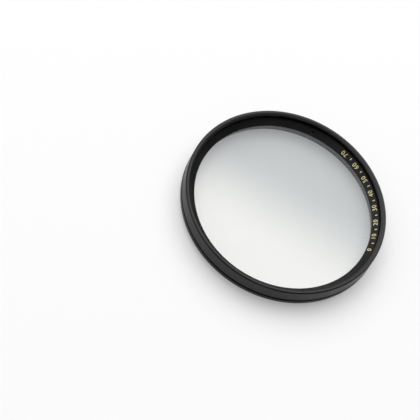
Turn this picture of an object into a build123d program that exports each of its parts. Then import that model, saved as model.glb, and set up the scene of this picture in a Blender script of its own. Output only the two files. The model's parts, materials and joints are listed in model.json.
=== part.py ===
"""Screw-in graduated grey lens filter in a rotating mount, thread M67 x 0.75.

Millimetres. +Z is the optical axis and points to the front of the filter.
The filter lies on the end of its rear thread, at z = 0.
+Y is the dense side of the graduated glass.
"""
import os
from math import radians, sqrt, tan

from build123d import *

# Filter thread, the same at the rear and at the front
thread_major_d = 67.0
thread_pitch = 0.75
thread_fit = 0.05  # radial play of each threaded wall from the pitch line

# Rear ring, which stays fixed on the lens
male_length = 2.1
male_wall = 0.7
flange_web = 0.5  # floor of the flange, under the turning shoulder
male_lead_in = 0.3

# Snap wire, which holds the front ring in the rear ring
wire_d = 0.5
wire_play = 0.1
wire_gap_angle = 14.0
bearing_land = 0.15  # plain bearing wall on each side of the wire groove

# Front ring, which turns
running_fit = 0.05  # radial clearance of the turning shoulder
axial_play = 0.1
parting_gap = 0.6  # height of the dark line between the two rings
sleeve_clearance = 0.3
sleeve_wall = 0.4
seat_floor = 0.43  # the glass seat, above the foot of the shoulder
seat_depth = 2.0  # the seat's bright wall, from the glass to its lower edge
shoulder_wall = 1.65
rim_wall = 1.75
front_thread_depth = 2.1  # free thread above the retaining ring
rim_bevel = 0.35
lead_in_width = 0.7
lead_in_depth = 0.35
edge_break = 0.15

# Glass
glass_thickness = 2.0
glass_lap = 0.4  # how far the glass reaches over its seat
glass_fit = 0.1
glass_bevel = 0.2

# Retaining ring, with the marked conical face
retainer_thread_step = 0.4  # its own thread is this much smaller than the front thread
retainer_flare = 0.4  # height of its flared rim, which fills the taper under the front thread
retainer_lap = 1.1  # how far the ring reaches over the glass
retainer_land = 0.2  # height of the ring's inner wall
retainer_rim = 0.05
retainer_foot = 0.25  # height of the foot that clamps the glass, under the thread
retainer_foot_play = 0.1
retainer_clearance = 0.15  # under the thread, so that only the foot bears
cone_angle = 35.0
notch_angle = 97.3
notch_count = 2
notch_width = 0.9
notch_length = 1.3
notch_floor = 0.4

# Radii, from the thread inwards and outwards
pitch_r = thread_major_d / 2 - 3 * sqrt(3) / 16 * thread_pitch
male_r = pitch_r - thread_fit
female_r = pitch_r + thread_fit
tube_bore_r = male_r - male_wall
sleeve_r = tube_bore_r - sleeve_clearance
seat_r = sleeve_r - sleeve_wall
glass_r = seat_r + glass_lap
pocket_r = glass_r + glass_fit
shoulder_r = pocket_r + shoulder_wall
counterbore_r = shoulder_r + running_fit
outer_r = female_r + rim_wall
retainer_bore_r = female_r - retainer_thread_step
retainer_r = retainer_bore_r - 2 * thread_fit
retainer_rim_r = female_r - 2 * thread_fit
foot_r = pocket_r - retainer_foot_play
retainer_inner_r = glass_r - retainer_lap
cone_outer_r = retainer_rim_r - retainer_rim

# Heights, from the end of the rear thread upwards
groove_height = wire_d + 2 * wire_play
groove_depth = wire_d / 2 + wire_play
flange_z = male_length
counterbore_z = flange_z + flange_web
wire_z = counterbore_z + bearing_land + groove_height / 2
flange_top_z = wire_z + groove_height / 2 + bearing_land
band_z = flange_top_z + parting_gap
shoulder_z = counterbore_z + axial_play
seat_z = shoulder_z + seat_floor
sleeve_z = seat_z - seat_depth
glass_top_z = seat_z + glass_thickness
retainer_thread_z = glass_top_z + retainer_foot
thread_floor_z = retainer_thread_z - retainer_clearance
cone_low_z = glass_top_z + retainer_land
cone_top_z = cone_low_z + (cone_outer_r - retainer_inner_r) * tan(radians(cone_angle))
flare_z = cone_top_z - retainer_flare
top_z = cone_top_z + front_thread_depth


# Rear ring: thread tube, flange band and the counterbore that the front ring turns in
with BuildPart() as rear_ring:
    with BuildSketch(Plane.XZ):
        with BuildLine():
            Polyline(
                (tube_bore_r, 0),
                (male_r - male_lead_in, 0),
                (male_r, male_lead_in),
                (male_r, flange_z),
                (outer_r - edge_break, flange_z),
                (outer_r, flange_z + edge_break),
                (outer_r, flange_top_z - edge_break),
                (outer_r - edge_break, flange_top_z),
                (counterbore_r, flange_top_z),
                (counterbore_r, wire_z + groove_height / 2),
                (counterbore_r + groove_depth, wire_z + groove_height / 2),
                (counterbore_r + groove_depth, wire_z - groove_height / 2),
                (counterbore_r, wire_z - groove_height / 2),
                (counterbore_r, counterbore_z),
                (tube_bore_r, counterbore_z),
                close=True,
            )
        make_face()
    revolve(axis=Axis.Z)

# Snap wire: a split ring of round wire, half in each ring's groove
with BuildPart() as snap_wire:
    with BuildSketch(Plane.XZ):
        with Locations((shoulder_r + running_fit / 2, wire_z)):
            Circle(wire_d / 2)
    revolve(axis=Axis.Z, revolution_arc=360 - wire_gap_angle)

# Front ring: grip band, bevelled rim, thread bores, glass pocket, shoulder and sleeve
with BuildPart() as front_ring:
    with BuildSketch(Plane.XZ):
        with BuildLine():
            Polyline(
                (seat_r, sleeve_z),
                (sleeve_r, sleeve_z),
                (sleeve_r, shoulder_z),
                (shoulder_r, shoulder_z),
                (shoulder_r, wire_z - groove_height / 2),
                (shoulder_r - groove_depth, wire_z - groove_height / 2),
                (shoulder_r - groove_depth, wire_z + groove_height / 2),
                (shoulder_r, wire_z + groove_height / 2),
                (shoulder_r, band_z),
                (outer_r - edge_break, band_z),
                (outer_r, band_z + edge_break),
                (outer_r, top_z - rim_bevel),
                (outer_r - rim_bevel, top_z),
                (female_r + lead_in_width, top_z),
                (female_r, top_z - lead_in_depth),
                (female_r, cone_top_z),
                (retainer_bore_r, flare_z),
                (retainer_bore_r, thread_floor_z),
                (pocket_r, thread_floor_z),
                (pocket_r, seat_z),
                (seat_r, seat_z),
                close=True,
            )
        make_face()
    revolve(axis=Axis.Z)

# Filter glass: a flat disc with ground bevels
with BuildPart() as filter_glass:
    with BuildSketch(Plane.XY.offset(seat_z)):
        Circle(glass_r)
    extrude(amount=glass_thickness)
    chamfer(filter_glass.edges().filter_by(GeomType.CIRCLE), glass_bevel)

# Retaining ring: conical marked face, flared rim, clamping foot and two spanner notches
with BuildPart() as retaining_ring:
    with BuildSketch(Plane.XZ):
        with BuildLine():
            Polyline(
                (retainer_inner_r, glass_top_z),
                (foot_r, glass_top_z),
                (foot_r, retainer_thread_z),
                (retainer_r, retainer_thread_z),
                (retainer_r, flare_z),
                (retainer_rim_r, cone_top_z),
                (cone_outer_r, cone_top_z),
                (retainer_inner_r, cone_low_z),
                close=True,
            )
        make_face()
    revolve(axis=Axis.Z)
    with BuildSketch(Plane.XY.offset(glass_top_z + notch_floor)):
        with PolarLocations(retainer_inner_r, notch_count, start_angle=notch_angle):
            Rectangle(2 * notch_length, notch_width)
    extrude(amount=cone_top_z - glass_top_z, mode=Mode.SUBTRACT)

# One STEP file for each piece
os.makedirs("parts", exist_ok=True)
rear_ring.part.label = "rear_ring"
export_step(rear_ring.part, "parts/rear_ring.step")
snap_wire.part.label = "snap_wire"
export_step(snap_wire.part, "parts/snap_wire.step")
front_ring.part.label = "front_ring"
export_step(front_ring.part, "parts/front_ring.step")
filter_glass.part.label = "filter_glass"
export_step(filter_glass.part, "parts/filter_glass.step")
retaining_ring.part.label = "retaining_ring"
export_step(retaining_ring.part, "parts/retaining_ring.step")
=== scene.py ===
"""Looks of a screw-in graduated grey lens filter: finishes, thread ridges, printed scale, studio.

Metres. +Z is the optical axis and points to the front of the filter, which lies on the
end of its rear thread, at z = 0. +Y is the dense side of the glass.
"""
import json
from math import cos, pi, radians, sin, sqrt

import bmesh
import bpy
from mathutils import Matrix, Vector


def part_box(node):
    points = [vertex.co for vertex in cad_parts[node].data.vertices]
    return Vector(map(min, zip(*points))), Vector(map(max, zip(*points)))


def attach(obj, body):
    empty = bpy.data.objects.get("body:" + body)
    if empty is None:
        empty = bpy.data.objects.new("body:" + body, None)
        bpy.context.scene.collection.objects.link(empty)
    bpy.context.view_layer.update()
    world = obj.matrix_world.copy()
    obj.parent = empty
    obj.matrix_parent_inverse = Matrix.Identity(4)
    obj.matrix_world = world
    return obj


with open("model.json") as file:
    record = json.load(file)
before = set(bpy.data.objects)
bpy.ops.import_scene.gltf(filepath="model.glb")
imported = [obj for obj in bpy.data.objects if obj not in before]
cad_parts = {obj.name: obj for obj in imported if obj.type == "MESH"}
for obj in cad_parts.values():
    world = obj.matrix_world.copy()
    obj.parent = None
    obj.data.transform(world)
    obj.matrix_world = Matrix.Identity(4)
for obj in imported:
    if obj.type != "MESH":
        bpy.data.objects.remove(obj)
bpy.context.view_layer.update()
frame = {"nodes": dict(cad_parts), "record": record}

MM = 0.001

# Sizes that come from the frame
mounts = {mount["name"]: mount for mount in frame["record"]["mounts"]}
rear_thread_r = mounts["rear_thread"]["dims"]["r_mm"] * MM
front_thread_r = mounts["front_thread"]["dims"]["r_mm"] * MM
rear_thread_z = mounts["rear_thread"]["pos_m"][2]
front_thread_z = mounts["front_thread"]["pos_m"][2]
rear_thread_length = mounts["rear_thread"]["dims"]["length_mm"] * MM
front_thread_length = mounts["front_thread"]["dims"]["length_mm"] * MM
glass_low, glass_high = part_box("filter_glass")
retainer_low, retainer_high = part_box("retaining_ring")
front_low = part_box("front_ring")[0]

# Metric thread form, sixty degrees between its flanks
thread_pitch = 0.75 * MM
thread_major_r = 33.5 * MM
thread_depth = 5 / 16 * sqrt(3) * thread_pitch
thread_crest_male = thread_pitch / 8
thread_crest_female = thread_pitch / 4
thread_root_sink = 0.05 * MM  # how far the thread's foot is sunk in its wall
thread_root_rise = 0.015 * MM  # how far the thread's root stands off its wall
thread_steps = 240  # round one turn
thread_runout = 40.0  # degrees over which a ridge's end runs out

# Marked cone of the retaining ring
cone_rim = 0.05 * MM
cone_angle = radians(35.0)
cone_land = 0.2 * MM
cone_outer_r = retainer_high.x - cone_rim
cone_top_z = retainer_high.z
cone_slant = (cone_top_z - retainer_low.z - cone_land) / sin(cone_angle)
cone_middle_r = cone_outer_r - cone_slant / 2 * cos(cone_angle)

# Printed scale on the cone
scale_start = 4.0  # degrees from +X
scale_step = 10  # degrees
scale_last = 70
number_height = 1.5 * MM
number_spacing = 1.15
number_bend_steps = 4  # straight steps in each curve of a digit
number_blank = 0.5  # half the thickness of the text before it gets the print's own
tick_width = 0.28 * MM
tick_length = 0.8 * MM
print_height = 0.03 * MM
print_sink = 0.02 * MM
print_weld = 0.0005 * MM  # points closer than this are joined

# Noise in the finishes
noise_low = 0.3
noise_high = 0.7
mark_detail = 2.0
patch_detail = 3.0
plain_detail = 1.0

# Black anodised rings: each colour and roughness lies between two values
ring_colours = ((0.006, 0.006, 0.0065, 1), (0.010, 0.010, 0.011, 1))
ring_roughness = (0.34, 0.44)
ring_mark = 0.2 * MM
retainer_colours = ((0.004, 0.004, 0.004, 1), (0.006, 0.006, 0.0063, 1))
retainer_roughness = (0.42, 0.52)
retainer_mark = 0.15 * MM
anodised_gloss = 0.3
dye_patch = 6 * MM
blast_grain = 0.12 * MM
mark_strength = 0.25
grain_strength = 0.2
relief_depth = 0.01 * MM

# Bare seat under the glass, and where it turns black
seat_colour = (0.22, 0.22, 0.225, 1)
seat_side_black = 0.1 * MM  # outside the edge of the glass
seat_foot_black = 0.05 * MM  # above the lower end of the front ring
seat_foot_bare = 0.1 * MM
seat_top_bare = 0.1 * MM  # above the underside of the glass
seat_top_black = 0.2 * MM

# Thread, spring wire and paint
# The thread's colours are darker than the rings' black: partly the thread's own matt paint, partly
# painted shade in its recess
thread_paint_and_shade_colours = ((0.0015, 0.0015, 0.0015, 1), (0.003, 0.003, 0.003, 1))
thread_roughness = (0.5, 0.65)
thread_gloss = 0.06
thread_patch = 3 * MM
wire_colours = ((0.42, 0.42, 0.44, 1), (0.58, 0.58, 0.59, 1))
wire_roughness = (0.22, 0.38)
wire_streak = 0.05 * MM
paint_colours = ((0.90, 0.79, 0.34, 1), (0.98, 0.92, 0.53, 1))
paint_roughness = (0.4, 0.6)
paint_gloss = 0.3
paint_patch = 0.4 * MM

# Graduated glass
glass_index = 1.5
coating = (0.15, 0.17, 0.2, 1)  # how much of bare glass's mirroring is left
clear_tint = (0.949, 0.951, 0.938, 1)
grey_tint = (0.776, 0.788, 0.79, 1)
grey_start_y = -14 * MM
grey_full_y = 16 * MM
cloud_size = 25 * MM
cloud_shift = 2 * MM  # how far the graduation wanders

# Camera, as seen in the photograph
image_size = 420
origin_pixel = (278.65, 213.95)  # where the frame's origin shows in the image
pixels_per_metre = 2987.5  # at the frame's origin
view_distance = 1.5
view_tilt = radians(34.5)  # between the optical axis and the line of sight
view_roll = radians(30.9)  # about the line of sight
sensor_width = 36.0

# Studio
white = (1, 1, 1, 1)
floor_half_width = 3.0
floor_colour = (0.92, 0.92, 0.92, 1)
floor_roughness = 0.9
floor_gloss = 0.1
floor_white = 0.33  # share of plain white in the floor as it is seen
surround = 0.1
lamp_centre = (0.5, 0.5, 0)  # in a lamp's own coordinates, which run from 0 to 1
lamp_core = 0.25  # where a lamp starts to fade, from its centre, as a share of its width
lamp_edge = 0.5  # where it has faded out
key_place = (-1.39, 0.0, 1.58)
key_width = 4.5
key_power = 47.5
back_place = (-0.3, 0.95, 1.8)
back_width = 4.2
back_power = 127.5


def node(tree, kind, inputs=None, **settings):
    """A shader node with its settings, and with its inputs set or linked."""
    made = tree.nodes.new("ShaderNode" + kind)
    for name, value in settings.items():
        setattr(made, name, value)
    for key, value in (inputs or {}).items():
        if isinstance(value, bpy.types.NodeSocket):
            tree.links.new(value, made.inputs[key])
        else:
            made.inputs[key].default_value = value
    return made


def new_material(name, **sockets):
    """A material with its principled shader, whose plain sockets are set by name."""
    material = bpy.data.materials.new(name)
    material.use_nodes = True
    shader = material.node_tree.nodes["Principled BSDF"]
    for socket, value in sockets.items():
        shader.inputs[socket.replace("_", " ")].default_value = value
    return material, material.node_tree, shader


def own_place(tree):
    """The shaded point, in its own piece's frame."""
    return node(tree, "TexCoord").outputs["Object"]


def lathe_section(tree, place):
    """Radius and height of a place about the optical axis."""
    parts = node(tree, "SeparateXYZ", {"Vector": place})
    flat = node(tree, "CombineXYZ", {"X": parts.outputs["X"], "Y": parts.outputs["Y"]})
    radius = node(tree, "VectorMath", {0: flat.outputs["Vector"]}, operation="LENGTH")
    return radius.outputs["Value"], parts.outputs["Z"]


def turning_marks(tree, place, mark_size):
    """Fine rings left by a lathe tool, the same all round."""
    radius, height = lathe_section(tree, place)
    section = node(tree, "CombineXYZ", {"X": radius, "Y": height})
    marks = node(
        tree,
        "TexNoise",
        {"Vector": section.outputs["Vector"], "Scale": 1 / mark_size, "Detail": mark_detail},
        noise_dimensions="2D",
    )
    return marks.outputs["Fac"]


def soft_patches(tree, place, patch_size, detail=patch_detail):
    """Slow uneven patches, as handling and dye leave them."""
    patches = node(
        tree,
        "TexNoise",
        {"Vector": place, "Scale": 1 / patch_size, "Detail": detail},
    )
    return patches.outputs["Fac"]


def ranged(tree, value, low, high):
    """A noise value, spread over a range."""
    spread = node(
        tree,
        "MapRange",
        {
            "Value": value,
            "From Min": noise_low,
            "From Max": noise_high,
            "To Min": low,
            "To Max": high,
        },
    )
    return spread.outputs["Result"]


def step(tree, value, start, end):
    """Rises smoothly from 0 at start to 1 at end."""
    rise = node(
        tree,
        "MapRange",
        {"Value": value, "From Min": start, "From Max": end},
        interpolation_type="SMOOTHSTEP",
    )
    return rise.outputs["Result"]


def mixed(tree, factor, first, second):
    """A colour between two, each a plain colour or a socket."""
    # The node keeps its colours at inputs 6 and 7, and the mixed colour at output 2
    mix = node(tree, "Mix", {0: factor, 6: first, 7: second}, data_type="RGBA")
    return mix.outputs[2]


def times(tree, first, second):
    """The product of two values."""
    return node(tree, "Math", {0: first, 1: second}, operation="MULTIPLY").outputs["Value"]


def uneven(tree, shader, pattern, colours, roughness):
    """Lets a pattern vary the colour and the roughness, each between its two values."""
    colour = mixed(tree, ranged(tree, pattern, 0.0, 1.0), *colours)
    tree.links.new(colour, shader.inputs["Base Color"])
    tree.links.new(ranged(tree, pattern, *roughness), shader.inputs["Roughness"])


def black_anodised(name, colours, roughness, mark_size):
    """Black anodised aluminium, turned and lightly blasted: rings, grain and uneven dye."""
    material, tree, shader = new_material(name, Specular_IOR_Level=anodised_gloss)
    place = own_place(tree)
    uneven(tree, shader, soft_patches(tree, place, dye_patch), colours, roughness)
    marks = turning_marks(tree, place, mark_size)
    grain = soft_patches(tree, place, blast_grain, plain_detail)
    rings = node(
        tree,
        "Bump",
        {"Height": marks, "Strength": mark_strength, "Distance": relief_depth},
    )
    relief = node(
        tree,
        "Bump",
        {
            "Height": grain,
            "Strength": grain_strength,
            "Distance": relief_depth,
            "Normal": rings.outputs["Normal"],
        },
    )
    tree.links.new(relief.outputs["Normal"], shader.inputs["Normal"])
    return material


def front_ring_finish():
    """The rings' anodised finish, with a bare turned seat under the glass."""
    material = black_anodised("front_ring_black", ring_colours, ring_roughness, ring_mark)
    tree = material.node_tree
    shader = tree.nodes["Principled BSDF"]
    black = shader.inputs["Base Color"].links[0].from_socket
    radius, height = lathe_section(tree, own_place(tree))
    inside = step(tree, radius, glass_high.x + seat_side_black, glass_high.x)
    above = step(tree, height, front_low.z + seat_foot_black, front_low.z + seat_foot_bare)
    below = step(tree, height, glass_low.z + seat_top_black, glass_low.z + seat_top_bare)
    seat = times(tree, times(tree, inside, above), below)
    tree.links.new(mixed(tree, seat, black, seat_colour), shader.inputs["Base Color"])
    tree.links.new(seat, shader.inputs["Metallic"])
    return material


def thread_black():
    """Matt black paint in the front thread, made darker than the rings' black as painted shade in
    its recess, where little light comes back out.
    """
    material, tree, shader = new_material("thread_black", Specular_IOR_Level=thread_gloss)
    patches = soft_patches(tree, own_place(tree), thread_patch)
    uneven(tree, shader, patches, thread_paint_and_shade_colours, thread_roughness)
    return material


def spring_steel():
    """Drawn spring wire with faint lengthwise streaks."""
    material, tree, shader = new_material("spring_steel", Metallic=1.0)
    streaks = turning_marks(tree, own_place(tree), wire_streak)
    uneven(tree, shader, streaks, wire_colours, wire_roughness)
    return material


def scale_paint():
    """Pale yellow paint, slightly uneven in its fill."""
    material, tree, shader = new_material("scale_paint", Specular_IOR_Level=paint_gloss)
    patches = soft_patches(tree, own_place(tree), paint_patch)
    uneven(tree, shader, patches, paint_colours, paint_roughness)
    return material


def graduated_glass():
    """Clear at -Y, grey at +Y, with a soft change between; light from lamps passes through."""
    material, tree, shader = new_material(
        "graduated_glass",
        Transmission_Weight=1.0,
        Roughness=0.0,
        IOR=glass_index,
        Specular_Tint=coating,
    )
    place = own_place(tree)
    parts = node(tree, "SeparateXYZ", {"Vector": place})
    cloud = soft_patches(tree, place, cloud_size, plain_detail)
    shift = node(
        tree,
        "MapRange",
        {"Value": cloud, "To Min": -cloud_shift, "To Max": cloud_shift},
    )
    across = node(
        tree,
        "Math",
        {0: parts.outputs["Y"], 1: shift.outputs["Result"]},
        operation="ADD",
    )
    density = step(tree, across.outputs["Value"], grey_start_y, grey_full_y)
    tint = mixed(tree, density, clear_tint, grey_tint)
    tree.links.new(tint, shader.inputs["Base Color"])
    through = node(tree, "BsdfTransparent", {"Color": tint}).outputs["BSDF"]
    rays = node(tree, "LightPath").outputs
    shown = shader.outputs["BSDF"]
    for kind in ("Is Shadow Ray", "Is Diffuse Ray"):
        shown = node(tree, "MixShader", {0: rays[kind], 1: shown, 2: through}).outputs["Shader"]
    tree.links.new(shown, tree.nodes["Material Output"].inputs["Surface"])
    return material


def finished_mesh(name, form):
    """The mesh of a form that is ready."""
    mesh = bpy.data.meshes.new(name)
    form.to_mesh(mesh)
    form.free()
    return mesh


def new_piece(name, mesh, material, body):
    """Adds an object of one mesh, which rides on a body and takes its finish from a slot."""
    piece = bpy.data.objects.new(name, mesh)
    bpy.context.scene.collection.objects.link(piece)
    mesh.materials.append(material)
    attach(piece, body)


def ridge_section(height, crest_width):
    """Corners of one pitch of thread: how far off the wall, and where along the axis."""
    foot = crest_width / 2 + (height - thread_root_rise) / sqrt(3)
    return (
        (-thread_root_sink, -thread_pitch / 2),
        (thread_root_rise, -thread_pitch / 2),
        (thread_root_rise, -foot),
        (height, -crest_width / 2),
        (height, crest_width / 2),
        (thread_root_rise, foot),
        (thread_root_rise, thread_pitch / 2),
        (-thread_root_sink, thread_pitch / 2),
    )


def thread_ridge(name, wall_r, crest_r, crest_width, middle_z, length):
    """A right-handed helical band with one ridge, which runs out at both ends."""
    outward = 1 if crest_r > wall_r else -1
    height = abs(crest_r - wall_r)
    section = ridge_section(height, crest_width)
    first_z = middle_z - length / 2 + thread_pitch / 2
    last_z = middle_z + length / 2 - thread_pitch / 2
    count = round((last_z - first_z) / thread_pitch * thread_steps)
    runout = thread_runout / 360 * thread_steps
    form = bmesh.new()
    rows = []
    for index in range(count + 1):
        angle = 2 * pi * index / thread_steps
        centre_z = first_z + thread_pitch * index / thread_steps
        rise = min(1.0, index / runout, (count - index) / runout)
        row = []
        for out, along in section:
            reach = min(out, thread_root_rise + (height - thread_root_rise) * rise)
            radius = wall_r + outward * reach
            place = (radius * cos(angle), radius * sin(angle), centre_z + along)
            row.append(form.verts.new(place))
        rows.append(row)
    for here, there in zip(rows, rows[1:]):
        for corner in range(len(section)):
            after = (corner + 1) % len(section)
            form.faces.new((here[corner], there[corner], there[after], here[after]))
    form.faces.new(rows[0])
    form.faces.new(reversed(rows[-1]))
    bmesh.ops.recalc_face_normals(form, faces=form.faces)
    return finished_mesh(name, form)


def on_cone(along, inward, lift):
    """A point on the marked cone: arc length along its middle, slant from its outer edge, height."""
    angle = along / cone_middle_r
    radius = cone_outer_r - inward * cos(cone_angle) - lift * sin(cone_angle)
    height = cone_top_z - inward * sin(cone_angle) + lift * cos(cone_angle)
    return Vector((radius * cos(angle), radius * sin(angle), height))


def add_number(form, text, centre, foot):
    """Raised printed digits, bent onto the cone with their tops towards the glass."""
    curve = bpy.data.curves.new("digits", "FONT")
    curve.body = text
    curve.align_x = "CENTER"
    curve.extrude = number_blank
    curve.space_character = number_spacing
    curve.resolution_u = number_bend_steps
    holder = bpy.data.objects.new("digits", curve)
    bpy.context.scene.collection.objects.link(holder)
    shape = holder.evaluated_get(bpy.context.evaluated_depsgraph_get())
    mesh = bpy.data.meshes.new_from_object(shape)
    tallest = max(vertex.co.y for vertex in mesh.vertices)
    size = number_height / tallest
    for vertex in mesh.vertices:
        along = centre + vertex.co.x * size
        inward = foot + vertex.co.y * size
        lift = print_height if vertex.co.z > 0 else -print_sink
        vertex.co = on_cone(along, inward, lift)
    form.from_mesh(mesh)
    bpy.data.objects.remove(holder)
    bpy.data.curves.remove(curve)
    bpy.data.meshes.remove(mesh)


def add_tick(form, centre, foot):
    """One short raised stroke of the scale."""
    outline = ((-1, 0), (1, 0), (1, 1), (-1, 1))
    layers = []
    for lift in (-print_sink, print_height):
        layer = []
        for side, end in outline:
            place = on_cone(centre + side * tick_width / 2, foot + end * tick_length, lift)
            layer.append(form.verts.new(place))
        form.faces.new(layer)
        layers.append(layer)
    low, high = layers
    for corner in range(len(outline)):
        after = (corner + 1) % len(outline)
        form.faces.new((low[corner], low[after], high[after], high[corner]))


def scale_print():
    """Plain numbers at every step of the scale, with a tick between each two."""
    form = bmesh.new()
    arc = radians(1) * cone_middle_r
    foot = (cone_slant - number_height) / 2
    for value in range(0, scale_last + 1, scale_step):
        add_number(form, str(value), (scale_start + value) * arc, foot)
        if value < scale_last:
            add_tick(form, (scale_start + value + scale_step / 2) * arc, foot)
    bmesh.ops.remove_doubles(form, verts=form.verts, dist=print_weld)
    bmesh.ops.recalc_face_normals(form, faces=form.faces)
    return finished_mesh("scale_print", form)


def dress_nodes():
    """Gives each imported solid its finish."""
    finishes = {
        "rear_ring": black_anodised("rear_ring_black", ring_colours, ring_roughness, ring_mark),
        "front_ring": front_ring_finish(),
        "retaining_ring": black_anodised(
            "retainer_black", retainer_colours, retainer_roughness, retainer_mark
        ),
        "snap_wire": spring_steel(),
        "filter_glass": graduated_glass(),
    }
    for name, material in finishes.items():
        frame["nodes"][name].material_slots[0].material = material
    return finishes


def add_pieces(finishes):
    """The thread ridges and the printed scale."""
    rear = thread_ridge(
        "rear_thread_ridge",
        rear_thread_r,
        thread_major_r,
        thread_crest_male,
        rear_thread_z,
        rear_thread_length,
    )
    new_piece("rear_thread_ridge", rear, finishes["rear_ring"], "rear_mount")
    front = thread_ridge(
        "front_thread_ridge",
        front_thread_r,
        thread_major_r - thread_depth,
        thread_crest_female,
        front_thread_z,
        front_thread_length,
    )
    # The front thread takes a black darker than the rings': its own matt paint with painted shade
    # for the recess
    new_piece("front_thread_ridge", front, thread_black(), "turning_front")
    new_piece("scale_print", scale_print(), scale_paint(), "turning_front")


def floor_finish():
    """Pale matt paint, with a share of plain white as the camera, mirrors and glass show it."""
    material, tree, shader = new_material(
        "floor",
        Base_Color=floor_colour,
        Roughness=floor_roughness,
        Specular_IOR_Level=floor_gloss,
    )
    rays = node(tree, "LightPath").outputs
    seen = rays["Is Camera Ray"]
    for kind in ("Is Glossy Ray", "Is Transmission Ray"):
        seen = node(tree, "Math", {0: seen, 1: rays[kind]}, operation="MAXIMUM").outputs["Value"]
    share = times(tree, seen, floor_white)
    glow = node(tree, "Emission", {"Color": white, "Strength": 1.0}).outputs["Emission"]
    shown = node(tree, "MixShader", {0: share, 1: shader.outputs["BSDF"], 2: glow})
    tree.links.new(shown.outputs["Shader"], tree.nodes["Material Output"].inputs["Surface"])
    return material


def add_floor():
    """A plain pale floor under the filter."""
    form = bmesh.new()
    bmesh.ops.create_grid(form, x_segments=1, y_segments=1, size=floor_half_width)
    mesh = finished_mesh("floor", form)
    mesh.materials.append(floor_finish())
    floor = bpy.data.objects.new("floor", mesh)
    bpy.context.scene.collection.objects.link(floor)


def add_lamp(name, place, width, power):
    """A soft lamp that faces the filter and fades towards its edges."""
    data = bpy.data.lights.new(name, "AREA")
    data.size = width
    data.energy = power
    data.use_nodes = True
    tree = data.node_tree
    across = node(tree, "NewGeometry").outputs["Parametric"]
    off_centre = node(tree, "VectorMath", {0: across, 1: lamp_centre}, operation="DISTANCE")
    glow = step(tree, off_centre.outputs["Value"], lamp_edge, lamp_core)
    tree.links.new(glow, tree.nodes["Emission"].inputs["Strength"])
    lamp = bpy.data.objects.new(name, data)
    lamp.location = place
    lamp.rotation_mode = "QUATERNION"
    lamp.rotation_quaternion = (-Vector(place)).to_track_quat("-Z", "Y")
    bpy.context.scene.collection.objects.link(lamp)


def add_light():
    """A soft grey surround and two large lamps, at the filter's -X side and behind it."""
    world = bpy.data.worlds.new("studio")
    world.use_nodes = True
    background = world.node_tree.nodes["Background"]
    background.inputs["Color"].default_value = white
    background.inputs["Strength"].default_value = surround
    bpy.context.scene.world = world
    add_lamp("key_lamp", key_place, key_width, key_power)
    add_lamp("back_lamp", back_place, back_width, back_power)


def add_camera():
    """Looks at the filter as the photograph does."""
    data = bpy.data.cameras.new("camera")
    data.sensor_width = sensor_width
    data.lens = pixels_per_metre * view_distance / image_size * sensor_width
    camera = bpy.data.objects.new("camera", data)
    right = (origin_pixel[0] - image_size / 2) / pixels_per_metre
    down = (origin_pixel[1] - image_size / 2) / pixels_per_metre
    turned = Matrix.Rotation(view_tilt, 4, "X") @ Matrix.Rotation(view_roll, 4, "Z")
    camera.matrix_world = turned @ Matrix.Translation((-right, down, view_distance))
    bpy.context.scene.collection.objects.link(camera)
    bpy.context.scene.camera = camera


add_pieces(dress_nodes())
add_floor()
add_light()
add_camera()
bpy.context.scene.view_settings.view_transform = "Standard"
